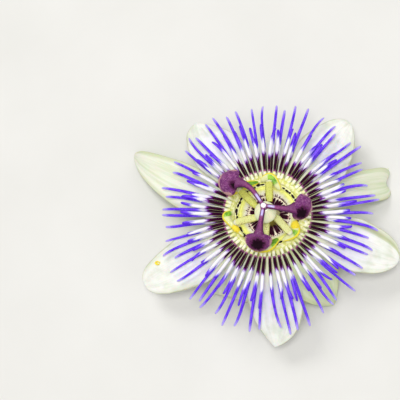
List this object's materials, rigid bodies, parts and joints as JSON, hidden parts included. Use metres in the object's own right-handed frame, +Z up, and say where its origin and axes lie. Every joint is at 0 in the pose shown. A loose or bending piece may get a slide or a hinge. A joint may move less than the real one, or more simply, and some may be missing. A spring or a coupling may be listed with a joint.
{
  "type": "passion flower",
  "caption": "Single open passion flower, picked with a short bent stalk, lying face up on its drooping sepals, with a banded corona and a raised centre.",
  "frame": {"origin": "bottom centre of the whole flower's box, on the surface that it lies on", "axes": "+Z up, parallel to the flower's axis and towards the viewer of its open face; +Y towards the reflexed sepal above the centre, +X towards the notched sepal"},
  "size_m": [0.0888, 0.0768, 0.0301],
  "materials": {
    "petal_white": "matte, velvety, faintly veined",
    "sepal_green": "matte, pale green towards the edges and green outside",
    "stalk_green": "satin leaf green with a purple flush",
    "corona_filament": "satin, cream at the foot, then dark purple, white and blue-violet bands",
    "dark_thread": "satin, nearly black purple",
    "membrane": "satin, yellow outside and whitish inside",
    "column_olive": "satin olive yellow",
    "stamen_yellow": "satin greenish yellow",
    "anther_green": "satin green with yellow margins and pollen",
    "ovary_cream": "glossy cream green",
    "style_purple": "satin speckled purple"
  },
  "bodies": {
    "root": {"peduncle": "stalk_green", "bract_1": "stalk_green", "bract_2": "stalk_green", "bract_3": "stalk_green", "hypanthium": "sepal_green", "sepal_1": "sepal_green", "sepal_2": "sepal_green", "sepal_3": "sepal_green", "sepal_4": "sepal_green", "sepal_5": "sepal_green", "petal_1": "petal_white", "petal_2": "petal_white", "petal_3": "petal_white", "petal_4": "petal_white", "petal_5": "petal_white", "corona_outer": "corona_filament", "corona_second": "corona_filament", "corona_inner": "dark_thread", "operculum": "membrane", "operculum_fringe": "dark_thread", "androgynophore": "column_olive", "stamen_1": "stamen_yellow", "stamen_2": "stamen_yellow", "stamen_3": "stamen_yellow", "stamen_4": "stamen_yellow", "stamen_5": "stamen_yellow", "anther_1": "anther_green", "anther_2": "anther_green", "anther_3": "anther_green", "anther_4": "anther_green", "anther_5": "anther_green", "ovary": "ovary_cream", "style_1": "style_purple", "style_2": "style_purple", "style_3": "style_purple", "stigma_1": "style_purple", "stigma_2": "style_purple", "stigma_3": "style_purple"}
  },
  "joints": []
}
